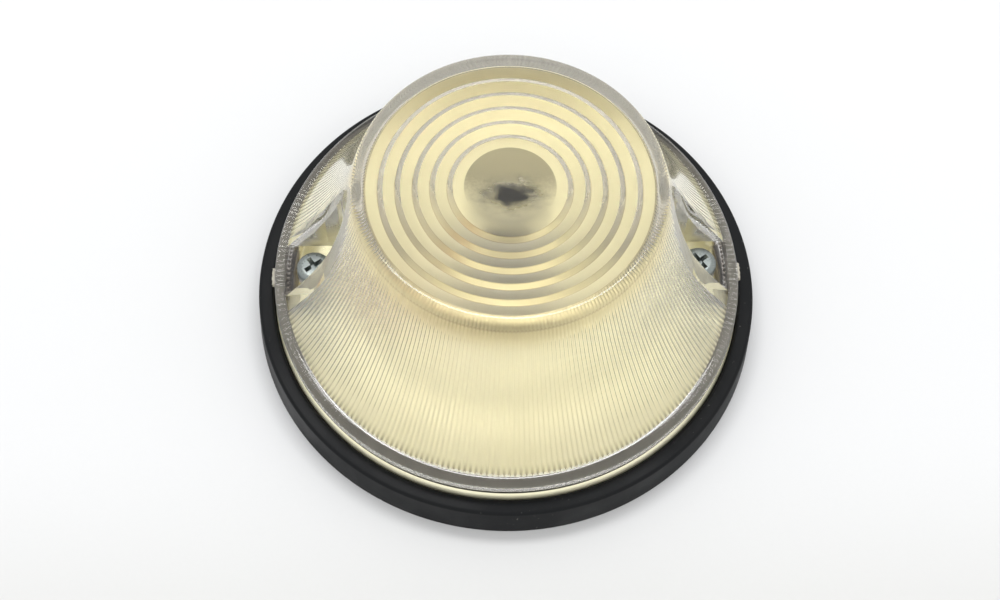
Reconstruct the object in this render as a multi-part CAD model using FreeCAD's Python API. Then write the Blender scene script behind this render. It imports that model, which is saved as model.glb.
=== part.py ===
import FreeCAD, Part
import math
import os

# Round front position lamp of a vehicle: a rubber gasket, a pressed base plate, a fluted clear lens
# held by two screws, and a bayonet bulb in its holder.
# Millimetres. Z points out of the car, from the gasket's rear face. X runs through the two lens screws.

# Rubber gasket
GASKET_WALL = 4.25         # thickness of the wall at the rear face
GASKET_H = 8.9             # height of the wall
GASKET_DRAFT = 0.6         # how far the outer wall leans in
GASKET_FLOOR = 2.0         # thickness under the base plate
GASKET_EDGE = 0.8          # rounding of the top edges
GASKET_OPENING_R = 29.0    # opening for the wiring
NOTCH_WIDTH = 6.5          # shallow moulded flat beside each screw
NOTCH_DEPTH = 0.5
RUBBER_PLAY = 0.15         # rubber to metal, all round

# Pressed base plate
SHEET = 0.8
PAN_R = 53.6               # outside of the upright rim
RIM_REVEAL = 1.5           # bright rim that shows above the gasket
RIM_LIP = 3.6              # turned in under the lens seal
RIM_BEND = 1.6             # inside radius of the rim's shoulder
PLATEAU_R = 25.0           # raised middle, with room for the terminals behind it
PLATEAU_RISE = 3.8
PLATEAU_SLOPE = 2.0
BEND = 0.8                 # inside radius of the folds
CONTACT_HOLE_R = 6.5
MOUNT_PITCH = 68.0         # two fixing holes, along X, under the screw wells
MOUNT_HOLE_R = 2.6

# Lens
SEAL = 1.4                 # seal between the lip and the lens
SEAL_INSET = 0.5           # seal set back from the outside of the lens
SEAL_LAP = 0.2             # lip that shows inside the seal
LENS_INSET = 0.3           # lens skirt set back from the rim
LENS_HEIGHT = 41.1
SKIRT_HEIGHT = 3.7
SHOULDER_STEP = 2.5        # from the skirt in to the foot of the cone
SHOULDER_ROUND = 1.8
LENS_TOP_R = 33.2
TRUMPET_SAG = 1.8          # how far the cone is hollowed between its ends
TOP_ROUND = 1.5
LENS_WALL = 2.8
TOP_WALL = 2.4
LUG_WIDTH = 4.0            # small gate lugs on the skirt
LUG_HEIGHT = 1.5
LUG_PROUD = 0.8

# Flutes inside the cone and rings under the top
FLUTES = 256
FLUTE_DEPTH = 0.34         # at the foot of the cone
FLUTE_SPANS = 3            # straight lengths that follow the hollow cone
DISC_PROUD = 0.3           # the ringed disc stands below the ceiling
BULLSEYE_R = 9.7
BULLSEYE_BULGE = 1.6
RING_COUNT = 5
RING_LAND = 2.5            # flat between the bull's eye and the first ring
RING_PITCH = 3.67
RING_DEPTH = 1.0
RISER_WIDTH = 1.2

# Screw wells in the lens, screws and posts
SCREW_INSET = 9.3          # from the outside of the skirt in to the screws
WELL_ROOM = 2.5            # beside the screw head
WELL_REACH = 9.5           # from the screw in to the well's end
SCREW_R = 1.9
SCREW_LENGTH = 10.0
SCREW_HEAD_R = 4.0
SCREW_HEAD_H = 2.6
SCREW_HEAD_ROUND = 1.5
RECESS_SPAN = 4.6
RECESS_WIDTH = 1.1
RECESS_DEPTH = 1.6
SCREW_PLAY = 0.4           # hole in the lens round the screw
THREAD_PLAY = 0.1          # screw in its post
POST_R = 4.0
SPIGOT_R = 3.0             # riveted foot of a post
FIT = 0.1                  # metal in metal, all round

# Bulb holder and its contacts
HOLDER_PLAY = 0.7          # round the bulb's cap
HOLDER_SHEET = 0.6
HOLDER_RISE = 5.6          # above the bulb's pins
FLANGE_MARGIN = 0.6        # outside the rivet heads
RIVET_R = 1.2
RIVET_HEAD_R = 2.0
RIVET_HEAD_H = 0.8
SLOT_PLAY = 0.2            # bayonet slots, round the pins
SLOT_TURN = 32.0
INSULATOR_MARGIN = 3.2     # past the rivets
INSULATOR_LAP = 1.0        # past the hole in the plate
INSULATOR = 1.2
LEAF = 0.4
LEAF_WIDTH = 5.0
LEAF_RISE = 2.0
LEAF_CROWN = 1.7           # half the flat that meets the bulb
LEAF_PLAY = 0.4            # inside the hole in the plate
LEAF_FLAT = 0.6            # from the rivet head to the first bend
CONTACT_RIVET_R = 0.7
CONTACT_RIVET_HEAD_R = 1.3
CONTACT_RIVET_HEAD_H = 0.4
BLADE = 0.6
BLADE_WIDTH = 4.8
BLADE_DROP = 1.6           # joggle that brings a blade clear of the plate
PAD_MARGIN = 1.0           # of a blade round its rivet head
FEED_BLADE_END = 18.0
EARTH_GAP = 3.6            # from the holder's flange to the earth rivet
EARTH_RIVET_X = -6.0
EARTH_BLADE = 14.0         # from its rivet to its tip

# Bulb
CAP_R = 7.6
CAP_WALL = 0.35
CAP_H = 14.0
CAP_MOUTH_R = 5.5
PIN_R = 1.0
PIN_ENGAGE = 0.45          # depth of a pin in the holder's wall
PIN_RISE = 6.2             # above the cap's lower edge
BEAD_RISE = 1.2            # insulating bead below the cap
BEAD_DEPTH = 2.5           # bead inside the cap
SOLDER_R = 2.6
SOLDER_H = 0.8
GLASS_WALL = 0.6
GLASS_PLAY = 0.35          # cement gap between cap and glass
GLASS_SOCKET = 3.2         # glass inside the cap
GLOBE_R = 9.0
GLOBE_BELLY = 5.5          # straight part of the globe and its lower rounding
GLOBE_ROUND = 4.5
NECK_RISE = 1.3
NECK_TAPER = 2.5
STEM_R = 2.2
STEM_FOOT = 0.8
STEM_FLARE = 3.2
STEM_H = 8.0
LEAD_R = 0.25
LEAD_FOOT_X = 1.3
LEAD_TIP_X = 3.4
LEAD_STRAIGHT = 1.5
LEAD_H = 8.0
FILAMENT_R = 0.4

# Heights and radii that follow from the sizes above
GASKET_INSIDE_R = PAN_R + RUBBER_PLAY
GASKET_R = GASKET_INSIDE_R + GASKET_WALL
FLOOR_TOP = GASKET_FLOOR + SHEET
PLATEAU_TOP = FLOOR_TOP + PLATEAU_RISE
PLATEAU_UNDER = PLATEAU_TOP - SHEET
RIM_TOP = GASKET_H + RIM_REVEAL
LENS_R = PAN_R - LENS_INSET
LENS_FOOT = RIM_TOP + SEAL
LENS_TOP = LENS_FOOT + LENS_HEIGHT
SHOULDER_Z = LENS_FOOT + SKIRT_HEIGHT
CONE_FOOT_R = LENS_R - SHOULDER_STEP
SKIRT_CEILING = SHOULDER_Z - LENS_WALL
CEILING = LENS_TOP - TOP_WALL
RING_FIRST_R = BULLSEYE_R + RING_LAND
SCREW_X = LENS_R - SCREW_INSET
WELL_HALF_WIDTH = SCREW_HEAD_R + WELL_ROOM
WELL_CENTRE = SCREW_X - WELL_REACH + WELL_HALF_WIDTH
HOLDER_R = CAP_R + HOLDER_PLAY
HOLDER_OUTER_R = HOLDER_R + HOLDER_SHEET
RIVET_X = HOLDER_OUTER_R + BEND + RIVET_HEAD_R + FIT
FLANGE_R = RIVET_X + RIVET_HEAD_R + FLANGE_MARGIN
PIN_REACH = HOLDER_R + PIN_ENGAGE
SLOT_WIDTH = 2 * (PIN_R + SLOT_PLAY)
INSULATOR_WIDTH = 2 * (CONTACT_HOLE_R + INSULATOR_LAP)
INSULATOR_UNDER = PLATEAU_UNDER - INSULATOR
LEAF_HALF = math.sqrt(CONTACT_HOLE_R ** 2 - LEAF_WIDTH ** 2 / 4) - LEAF_PLAY
CONTACT_RIVET_X = CONTACT_RIVET_HEAD_R - LEAF_HALF
EARTH_Y = -FLANGE_R - EARTH_GAP
LEAF_TOP = PLATEAU_UNDER + LEAF
CONTACT_Z = LEAF_TOP + LEAF_RISE
BEAD_Z = CONTACT_Z + SOLDER_H
CAP_Z = BEAD_Z + BEAD_RISE
CAP_TOP = CAP_Z + CAP_H
PIN_Z = CAP_Z + PIN_RISE
HOLDER_TOP = PIN_Z + HOLDER_RISE
GLASS_Z = CAP_TOP - GLASS_SOCKET
NECK_R = CAP_R - CAP_WALL - GLASS_PLAY
STEM_TOP = GLASS_Z + STEM_H
LEAD_TOP = STEM_TOP + LEAD_H

AXIS = FreeCAD.Vector(0, 0, 1)
CENTRE = FreeCAD.Vector(0, 0, 0)
OVERRUN = 1.0              # how far a cutting shape reaches past what it cuts
SAME = 1e-5                # places closer than this are one


# Drawing helpers

def point(u, z):
    return FreeCAD.Vector(u, 0, z)


def rounded_path(corners, closed):
    """Edges in the XZ plane. A corner is (u, z) or (u, z, radius of its rounding)."""
    spots = []
    for i, corner in enumerate(corners):
        here = point(*corner[:2])
        radius = corner[2] if len(corner) > 2 else 0
        if radius == 0:
            spots.append((here, None, here))
            continue
        back = (point(*corners[i - 1][:2]) - here).normalize()
        ahead = (point(*corners[(i + 1) % len(corners)][:2]) - here).normalize()
        half = back.getAngle(ahead) / 2
        reach = radius / math.tan(half)
        inward = (back + ahead).normalize()
        middle = here + inward * (radius / math.sin(half) - radius)
        spots.append((here + back * reach, middle, here + ahead * reach))
    edges = []
    for i, (enter, middle, leave) in enumerate(spots):
        before = spots[i - 1][2]
        if (closed or i > 0) and before.distanceToPoint(enter) > SAME:
            edges.append(Part.LineSegment(before, enter).toShape())
        if middle is not None:
            edges.append(Part.Arc(enter, middle, leave).toShape())
    return Part.Wire(edges)


def outline(corners):
    """Closed face in the XZ plane, from the same kind of corners."""
    return Part.Face(rounded_path(corners, True))


def strip(path, thickness):
    """Corners of a bent sheet. The path is its left face, and each rounding is a bend's inside radius."""
    steps = []
    for (u0, z0, *_), (u1, z1, *_) in zip(path, path[1:]):
        length = math.hypot(u1 - u0, z1 - z0)
        steps.append(((u1 - u0) / length, (z1 - z0) / length))
    near, far = [], []
    for i, (u, z, *bend) in enumerate(path):
        du0, dz0 = steps[max(i - 1, 0)]
        du1, dz1 = steps[min(i, len(steps) - 1)]
        share = thickness / (1 + du0 * du1 + dz0 * dz1)
        right_turn = du0 * dz1 - dz0 * du1 < 0
        inner = bend[0] if bend else 0
        outer = inner + thickness if bend else 0
        near.append((u, z, outer if right_turn else inner))
        far.append((u + (dz0 + dz1) * share, z - (du0 + du1) * share, inner if right_turn else outer))
    return near + far[::-1]


def turned(corners):
    """Solid of revolution about the lamp's axis."""
    return outline(corners).revolve(CENTRE, AXIS, 360)


def folded(path, thickness, width):
    """Sheet strip bent along the path in the XZ plane, as wide as said along Y."""
    solid = outline(strip(path, thickness)).extrude(FreeCAD.Vector(0, width, 0))
    solid.translate(FreeCAD.Vector(0, -width / 2, 0))
    return solid


def rod(radius, low, high, x=0.0, y=0.0):
    return Part.makeCylinder(radius, high - low, FreeCAD.Vector(x, y, low))


def block(x0, x1, y0, y1, z0, z1):
    return Part.makeBox(x1 - x0, y1 - y0, z1 - z0, FreeCAD.Vector(x0, y0, z0))


def moved(shape, x=0.0, y=0.0, turn=0.0):
    copy = shape.copy()
    copy.rotate(CENTRE, AXIS, turn)
    copy.translate(FreeCAD.Vector(x, y, 0))
    return copy


def pair(shape):
    """The shape and its copy half a turn round the axis."""
    return [shape, moved(shape, turn=180)]


def rivet(radius, head_radius, head_height, low, high):
    """Rivet on the Z axis that clamps a pack between two heights."""
    return turned([
        (0, low - head_height),
        (head_radius, low - head_height, head_height / 2),
        (head_radius, low),
        (radius, low),
        (radius, high),
        (head_radius, high),
        (head_radius, high + head_height, head_height / 2),
        (0, high + head_height),
    ])


# Base

def base_gasket():
    ring = turned([
        (GASKET_OPENING_R, 0),
        (GASKET_R, 0),
        (GASKET_R - GASKET_DRAFT, GASKET_H, GASKET_EDGE),
        (GASKET_INSIDE_R, GASKET_H, GASKET_EDGE),
        (GASKET_INSIDE_R, GASKET_FLOOR),
        (GASKET_OPENING_R, GASKET_FLOOR),
    ])
    notch = block(GASKET_R - NOTCH_DEPTH, GASKET_R + OVERRUN, -NOTCH_WIDTH / 2, NOTCH_WIDTH / 2,
                  -OVERRUN, GASKET_H + OVERRUN)
    hole = rod(MOUNT_HOLE_R, -OVERRUN, GASKET_FLOOR + OVERRUN, x=MOUNT_PITCH / 2)
    return ring.cut(pair(notch) + pair(hole))


def base_plate():
    inside_r = PAN_R - SHEET
    pan = turned(strip([
        (CONTACT_HOLE_R, PLATEAU_TOP),
        (PLATEAU_R, PLATEAU_TOP, BEND),
        (PLATEAU_R + PLATEAU_SLOPE, FLOOR_TOP, BEND),
        (inside_r, FLOOR_TOP, BEND),
        (inside_r, RIM_TOP - SHEET, RIM_BEND),
        (PAN_R - RIM_LIP, RIM_TOP - SHEET),
    ], SHEET))
    low, high = GASKET_FLOOR - OVERRUN, PLATEAU_TOP + OVERRUN
    holes = pair(rod(MOUNT_HOLE_R, low, high, x=MOUNT_PITCH / 2))
    holes += pair(rod(SPIGOT_R + FIT, low, high, x=SCREW_X))
    holes += pair(rod(RIVET_R + FIT, low, high, x=RIVET_X))
    holes.append(rod(RIVET_R + FIT, low, high, x=EARTH_RIVET_X, y=EARTH_Y))
    return pan.cut(holes)


def screw_posts():
    post = turned([
        (SCREW_R + THREAD_PLAY, GASKET_FLOOR),
        (SPIGOT_R, GASKET_FLOOR),
        (SPIGOT_R, FLOOR_TOP),
        (POST_R, FLOOR_TOP),
        (POST_R, SKIRT_CEILING),
        (SCREW_R + THREAD_PLAY, SKIRT_CEILING),
    ])
    return Part.makeCompound(pair(moved(post, x=SCREW_X)))


# Lens

def cone_radius(z):
    """Outside of the hollowed cone: a circular arc from the shoulder to the rim of the top."""
    chord = point(LENS_TOP_R - CONE_FOOT_R, LENS_TOP - SHOULDER_Z)
    radius = (chord.Length ** 2 / 4 + TRUMPET_SAG ** 2) / (2 * TRUMPET_SAG)
    outward = point(chord.z, -chord.x).normalize()
    middle = point(CONE_FOOT_R, SHOULDER_Z) + chord * 0.5
    centre = middle + outward * (radius - TRUMPET_SAG)
    return centre.x - math.sqrt(radius ** 2 - (z - centre.z) ** 2)


def lens_body():
    """The lens as a full solid, before it is hollowed."""
    middle_z = (SHOULDER_Z + LENS_TOP) / 2
    foot = point(CONE_FOOT_R, SHOULDER_Z)
    rim = point(LENS_TOP_R, LENS_TOP)
    edges = [
        Part.LineSegment(point(0, LENS_FOOT), point(LENS_R, LENS_FOOT)),
        Part.LineSegment(point(LENS_R, LENS_FOOT), point(LENS_R, SHOULDER_Z)),
        Part.LineSegment(point(LENS_R, SHOULDER_Z), foot),
        Part.Arc(foot, point(cone_radius(middle_z), middle_z), rim),
        Part.LineSegment(rim, point(0, LENS_TOP)),
        Part.LineSegment(point(0, LENS_TOP), point(0, LENS_FOOT)),
    ]
    body = Part.Face(Part.Wire([edge.toShape() for edge in edges])).revolve(CENTRE, AXIS, 360)
    body = rounded_ring(body, LENS_R, SHOULDER_Z, SHOULDER_ROUND)
    body = rounded_ring(body, LENS_TOP_R, LENS_TOP, TOP_ROUND)
    lug = block(LENS_R - OVERRUN, LENS_R + LUG_PROUD, -LUG_WIDTH / 2, LUG_WIDTH / 2,
                LENS_FOOT, LENS_FOOT + LUG_HEIGHT)
    return body.fuse(pair(lug))


def rounded_ring(solid, radius, z, rounding):
    """Rounds the circular edge of that radius at that height."""
    edges = []
    for edge in solid.Edges:
        box = edge.BoundBox
        level = box.ZMax - box.ZMin < SAME and abs(box.ZMax - z) < SAME
        if level and abs(box.XMax - radius) < SAME:
            edges.append(edge)
    return solid.makeFillet(rounding, edges)


def fluted_hollow():
    """Space inside the cone, with sharp flutes that run from the skirt up to the ceiling."""
    low = SKIRT_CEILING - OVERRUN / 2
    depth_share = FLUTE_DEPTH / CONE_FOOT_R
    sections = []
    for span in range(FLUTE_SPANS + 1):
        z = low + (CEILING - low) * span / FLUTE_SPANS
        radius = cone_radius(z) - LENS_WALL
        corners = []
        for i in range(2 * FLUTES):
            turn = math.pi * i / FLUTES
            reach = radius * (1 - depth_share * (i % 2))
            corners.append(FreeCAD.Vector(reach * math.cos(turn), reach * math.sin(turn), z))
        sections.append(Part.makePolygon(corners + corners[:1]))
    return Part.makeLoft(sections, True, True)


def ringed_disc():
    """Bull's eye and stepped rings that stand down from the ceiling of the lens."""
    land = CEILING - DISC_PROUD
    ball = (BULLSEYE_R ** 2 + BULLSEYE_BULGE ** 2) / (2 * BULLSEYE_BULGE)
    half_z = land - BULLSEYE_BULGE + ball - math.sqrt(ball ** 2 - BULLSEYE_R ** 2 / 4)
    bulge = Part.Arc(point(0, land - BULLSEYE_BULGE), point(BULLSEYE_R / 2, half_z), point(BULLSEYE_R, land))
    corners = [point(BULLSEYE_R, land), point(RING_FIRST_R, land)]
    for i in range(RING_COUNT):
        start = RING_FIRST_R + i * RING_PITCH
        corners.append(point(start + RISER_WIDTH, land - RING_DEPTH))
        corners.append(point(start + RING_PITCH, land))
    outer_r = corners[-1].x
    roof = CEILING + OVERRUN
    corners += [point(outer_r, roof), point(0, roof), point(0, land - BULLSEYE_BULGE)]
    wire = Part.Wire([bulge.toShape()] + Part.makePolygon(corners).Edges)
    return Part.Face(wire).revolve(CENTRE, AXIS, 360)


def screw_well(margin, floor):
    """U-shaped well, open outwards, grown by the margin on its sides and inner end."""
    half = WELL_HALF_WIDTH + margin
    top = LENS_TOP + OVERRUN
    end = rod(half, floor, top, x=WELL_CENTRE)
    way_out = block(WELL_CENTRE, LENS_R + OVERRUN + LUG_PROUD, -half, half, floor, top)
    return end.fuse(way_out).removeSplitter()


def lens():
    sleeves = pair(screw_well(LENS_WALL, SKIRT_CEILING))
    hollow = fluted_hollow().cut(sleeves + [ringed_disc()])
    skirt = rod(LENS_R - LENS_WALL, LENS_FOOT - OVERRUN, SKIRT_CEILING)
    wells = pair(screw_well(0, SHOULDER_Z))
    holes = pair(rod(SCREW_R + SCREW_PLAY, SKIRT_CEILING - OVERRUN, SHOULDER_Z + OVERRUN, x=SCREW_X))
    return lens_body().cut([skirt, hollow] + wells + holes)


def lens_seal():
    """Rubber ring whose lower side follows the rim's rounded shoulder."""
    inside_r = PAN_R - RIM_LIP + SEAL_LAP
    outside_r = LENS_R - SEAL_INSET
    ring = turned([
        (inside_r, FLOOR_TOP),
        (outside_r, FLOOR_TOP),
        (outside_r, LENS_FOOT),
        (inside_r, LENS_FOOT),
    ])
    rim = turned([
        (0, FLOOR_TOP - OVERRUN),
        (PAN_R, FLOOR_TOP - OVERRUN),
        (PAN_R, RIM_TOP, RIM_BEND + SHEET),
        (0, RIM_TOP),
    ])
    return ring.cut(rim)


def lens_screws():
    head_top = SHOULDER_Z + SCREW_HEAD_H
    screw = turned([
        (0, SHOULDER_Z - SCREW_LENGTH),
        (SCREW_R, SHOULDER_Z - SCREW_LENGTH),
        (SCREW_R, SHOULDER_Z),
        (SCREW_HEAD_R, SHOULDER_Z),
        (SCREW_HEAD_R, head_top, SCREW_HEAD_ROUND),
        (0, head_top),
    ])
    arm = block(-RECESS_SPAN / 2, RECESS_SPAN / 2, -RECESS_WIDTH / 2, RECESS_WIDTH / 2,
                head_top - RECESS_DEPTH, head_top + OVERRUN)
    screw = screw.cut([arm, moved(arm, turn=90)])
    return Part.makeCompound(pair(moved(screw, x=SCREW_X)))


# Bulb holder and contacts

def bulb_holder():
    shell = turned(strip([
        (FLANGE_R, PLATEAU_TOP),
        (HOLDER_R, PLATEAU_TOP, BEND),
        (HOLDER_R, HOLDER_TOP),
    ], HOLDER_SHEET))
    low, high = PIN_Z - SLOT_WIDTH / 2, PIN_Z + SLOT_WIDTH / 2
    reach = HOLDER_OUTER_R + OVERRUN
    way_in = block(0, reach, -SLOT_WIDTH / 2, SLOT_WIDTH / 2, low, HOLDER_TOP + OVERRUN)
    across = Part.makeCylinder(reach, high - low, FreeCAD.Vector(0, 0, low), AXIS, SLOT_TURN)
    seat = moved(block(0, reach, -SLOT_WIDTH / 2, SLOT_WIDTH / 2, low, high + PIN_R / 2), turn=SLOT_TURN)
    slot = moved(way_in.fuse([across, seat]), turn=90 - SLOT_TURN)
    holes = pair(rod(RIVET_R + FIT, PLATEAU_TOP - OVERRUN, PLATEAU_TOP + OVERRUN, x=RIVET_X))
    return shell.cut(pair(slot) + holes)


def holder_rivets():
    one = rivet(RIVET_R, RIVET_HEAD_R, RIVET_HEAD_H, INSULATOR_UNDER, PLATEAU_TOP + HOLDER_SHEET)
    return Part.makeCompound(pair(moved(one, x=RIVET_X)))


def insulator_plate():
    half = INSULATOR_WIDTH / 2
    end = RIVET_X + INSULATOR_MARGIN - half
    plate = block(-end, end, -half, half, INSULATOR_UNDER, PLATEAU_UNDER)
    plate = plate.fuse(pair(rod(half, INSULATOR_UNDER, PLATEAU_UNDER, x=end))).removeSplitter()
    low, high = INSULATOR_UNDER - OVERRUN, PLATEAU_UNDER + OVERRUN
    holes = pair(rod(RIVET_R + FIT, low, high, x=RIVET_X))
    holes.append(rod(CONTACT_RIVET_R + FIT, low, high, x=CONTACT_RIVET_X))
    return plate.cut(holes)


def contact_spring():
    bend_x = CONTACT_RIVET_X + CONTACT_RIVET_HEAD_R + LEAF_FLAT
    leaf = folded([
        (-LEAF_HALF, LEAF_TOP),
        (bend_x, LEAF_TOP, LEAF / 2),
        (-LEAF_CROWN, CONTACT_Z, LEAF / 2),
        (LEAF_CROWN, CONTACT_Z, LEAF / 2),
        (LEAF_HALF, LEAF_TOP + LEAF),
    ], LEAF, LEAF_WIDTH)
    return leaf.cut(rod(CONTACT_RIVET_R + FIT, PLATEAU_UNDER - OVERRUN, CONTACT_Z, x=CONTACT_RIVET_X))


def contact_rivet():
    one = rivet(CONTACT_RIVET_R, CONTACT_RIVET_HEAD_R, CONTACT_RIVET_HEAD_H,
                INSULATOR_UNDER - BLADE, LEAF_TOP)
    return moved(one, x=CONTACT_RIVET_X)


def feed_terminal():
    joggle = INSULATOR_WIDTH / 2 + BLADE_DROP
    blade = folded([
        (-CONTACT_RIVET_HEAD_R - PAD_MARGIN, INSULATOR_UNDER),
        (joggle, INSULATOR_UNDER, BLADE / 2),
        (joggle + BLADE_DROP, INSULATOR_UNDER - BLADE_DROP, BLADE / 2),
        (FEED_BLADE_END, INSULATOR_UNDER - BLADE_DROP),
    ], BLADE, BLADE_WIDTH)
    blade = moved(blade, x=CONTACT_RIVET_X, turn=90)
    hole = rod(CONTACT_RIVET_R + FIT, INSULATOR_UNDER - BLADE - OVERRUN, INSULATOR_UNDER + OVERRUN,
               x=CONTACT_RIVET_X)
    return blade.cut(hole)


def earth_terminal():
    pad = RIVET_HEAD_R + PAD_MARGIN
    joggle = EARTH_RIVET_X + pad
    blade = folded([
        (EARTH_RIVET_X - pad, PLATEAU_UNDER),
        (joggle, PLATEAU_UNDER, BLADE / 2),
        (joggle + BLADE_DROP, PLATEAU_UNDER - BLADE_DROP, BLADE / 2),
        (EARTH_RIVET_X + EARTH_BLADE, PLATEAU_UNDER - BLADE_DROP),
    ], BLADE, BLADE_WIDTH)
    hole = rod(RIVET_R + FIT, PLATEAU_UNDER - BLADE - OVERRUN, PLATEAU_UNDER + OVERRUN, x=EARTH_RIVET_X)
    return moved(blade.cut(hole), y=EARTH_Y)


def earth_rivet():
    one = rivet(RIVET_R, RIVET_HEAD_R, RIVET_HEAD_H, PLATEAU_UNDER - BLADE, PLATEAU_TOP)
    return moved(one, x=EARTH_RIVET_X, y=EARTH_Y)


# Bulb

def bulb_cap():
    shell = turned(strip([
        (CAP_R, CAP_TOP),
        (CAP_R, CAP_Z, CAP_WALL),
        (CAP_MOUTH_R, CAP_Z),
    ], CAP_WALL))
    return shell.cut(pin_row(PIN_R + FIT / 2, 0, CAP_R + OVERRUN))


def pin_row(radius, start, end):
    """Two round bars on the Y axis, at the height of the bayonet pins."""
    bar = Part.makeCylinder(radius, end - start, FreeCAD.Vector(0, start, PIN_Z), FreeCAD.Vector(0, 1, 0))
    return pair(bar)


def bulb_pins():
    return Part.makeCompound(pin_row(PIN_R, CAP_R - CAP_WALL - PIN_R, PIN_REACH))


def bulb_insulator():
    inside_r = CAP_R - CAP_WALL - FIT
    mouth_r = CAP_MOUTH_R - FIT
    seat = CAP_Z + CAP_WALL
    return turned([
        (0, BEAD_Z),
        ((SOLDER_R + mouth_r) / 2, BEAD_Z),
        (mouth_r, CAP_Z),
        (mouth_r, seat),
        (inside_r, seat, CAP_WALL),
        (inside_r, seat + BEAD_DEPTH),
        (0, seat + BEAD_DEPTH),
    ])


def bulb_contact():
    return turned([
        (0, CONTACT_Z),
        (SOLDER_R, CONTACT_Z, SOLDER_H / 2),
        (SOLDER_R, BEAD_Z),
        (0, BEAD_Z),
    ])


def bulb_glass():
    neck_z = CAP_TOP + NECK_RISE
    shoulder_z = neck_z + NECK_TAPER
    top = shoulder_z + GLOBE_BELLY + GLOBE_R
    return turned(strip([
        (0, top),
        (GLOBE_R, top, GLOBE_R - GLASS_WALL),
        (GLOBE_R, shoulder_z, GLOBE_ROUND),
        (NECK_R, neck_z, GLASS_WALL * 2),
        (NECK_R, GLASS_Z),
    ], GLASS_WALL))


def bulb_stem():
    foot_r = NECK_R - GLASS_WALL - FIT
    return turned([
        (0, GLASS_Z),
        (foot_r, GLASS_Z),
        (foot_r, GLASS_Z + STEM_FOOT),
        (STEM_R, GLASS_Z + STEM_FOOT + STEM_FLARE, STEM_FLARE / 2),
        (STEM_R, STEM_TOP),
        (0, STEM_TOP),
    ])


def bulb_leads():
    path = rounded_path([
        (LEAD_FOOT_X, STEM_TOP),
        (LEAD_FOOT_X, STEM_TOP + LEAD_STRAIGHT, LEAD_STRAIGHT),
        (LEAD_TIP_X, LEAD_TOP - 2 * LEAD_STRAIGHT, LEAD_STRAIGHT),
        (LEAD_TIP_X, LEAD_TOP),
    ], False)
    section = Part.Wire(Part.makeCircle(LEAD_R, point(LEAD_FOOT_X, STEM_TOP), AXIS))
    return Part.makeCompound(pair(path.makePipeShell([section], True, True)))


def bulb_filament():
    half = LEAD_TIP_X - LEAD_R
    start = FreeCAD.Vector(-half, 0, LEAD_TOP - LEAD_STRAIGHT)
    return Part.makeCylinder(FILAMENT_R, 2 * half, start, FreeCAD.Vector(1, 0, 0))


PIECES = [
    base_gasket, base_plate, screw_posts,
    lens, lens_seal, lens_screws,
    bulb_holder, holder_rivets, insulator_plate, contact_spring, contact_rivet,
    feed_terminal, earth_terminal, earth_rivet,
    bulb_cap, bulb_pins, bulb_insulator, bulb_contact,
    bulb_glass, bulb_stem, bulb_leads, bulb_filament,
]

os.makedirs("parts", exist_ok=True)
for piece in PIECES:
    shape = piece()
    shape.exportStep("parts/" + piece.__name__ + ".step")
    print(piece.__name__, len(shape.Solids), "solid,", round(shape.Volume, 2), "mm3, valid", shape.isValid())
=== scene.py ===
# %% [markdown]
# # A round front position lamp
# The lamp stands on its rubber gasket. A pressed plate sits in the gasket, two screws hold a clear
# fluted lens on the plate, and a small bayonet bulb stands in the middle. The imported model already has
# every piece at its real size, so this lesson only adds what a camera sees: fine meshes and finishes. What
# Blender's own start scene holds is removed first, so that it doesn't count in the size of the lamp.

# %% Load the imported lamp
import math

import bmesh
import bpy
from mathutils import Matrix, Vector


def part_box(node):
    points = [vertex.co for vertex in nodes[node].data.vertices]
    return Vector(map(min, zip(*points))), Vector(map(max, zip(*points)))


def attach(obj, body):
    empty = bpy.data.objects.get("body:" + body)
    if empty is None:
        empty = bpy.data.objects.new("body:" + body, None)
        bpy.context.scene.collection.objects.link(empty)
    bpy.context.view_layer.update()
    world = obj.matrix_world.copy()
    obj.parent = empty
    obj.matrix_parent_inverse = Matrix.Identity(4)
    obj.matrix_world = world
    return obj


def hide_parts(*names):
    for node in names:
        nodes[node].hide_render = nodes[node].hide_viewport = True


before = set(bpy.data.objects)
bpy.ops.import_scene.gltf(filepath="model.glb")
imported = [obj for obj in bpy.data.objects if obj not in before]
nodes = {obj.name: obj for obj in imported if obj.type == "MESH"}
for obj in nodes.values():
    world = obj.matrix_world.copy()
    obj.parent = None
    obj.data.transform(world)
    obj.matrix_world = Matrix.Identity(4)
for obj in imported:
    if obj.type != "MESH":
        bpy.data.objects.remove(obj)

START_OBJECTS = ("Cube", "Light", "Camera")
for name in START_OBJECTS:
    if name in bpy.data.objects:
        bpy.data.objects.remove(bpy.data.objects[name])

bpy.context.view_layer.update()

# %% [markdown]
# ## Camera
# The photograph looks down on the lamp from the front, with the right screw turned a little away and the
# picture tipped slightly. A camera can be aimed with a constraint or placed by numbers. Here its place is a
# chain of simple moves, read from right to left: tip it, pull it back, tilt it, aim it, walk it round.

# %% Camera
MM = 0.001
PICTURE_WIDTH = 1000
FOCAL_PIXELS = 1684
CAMERA_DISTANCE = 400 * MM
CAMERA_ELEVATION = math.radians(62.28)
CAMERA_ROLL = math.radians(2.0)
CAMERA_TURN = math.radians(-3.08)
CAMERA_TARGET = Vector((-1.34 * MM, -0.10 * MM, 0))

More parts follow.
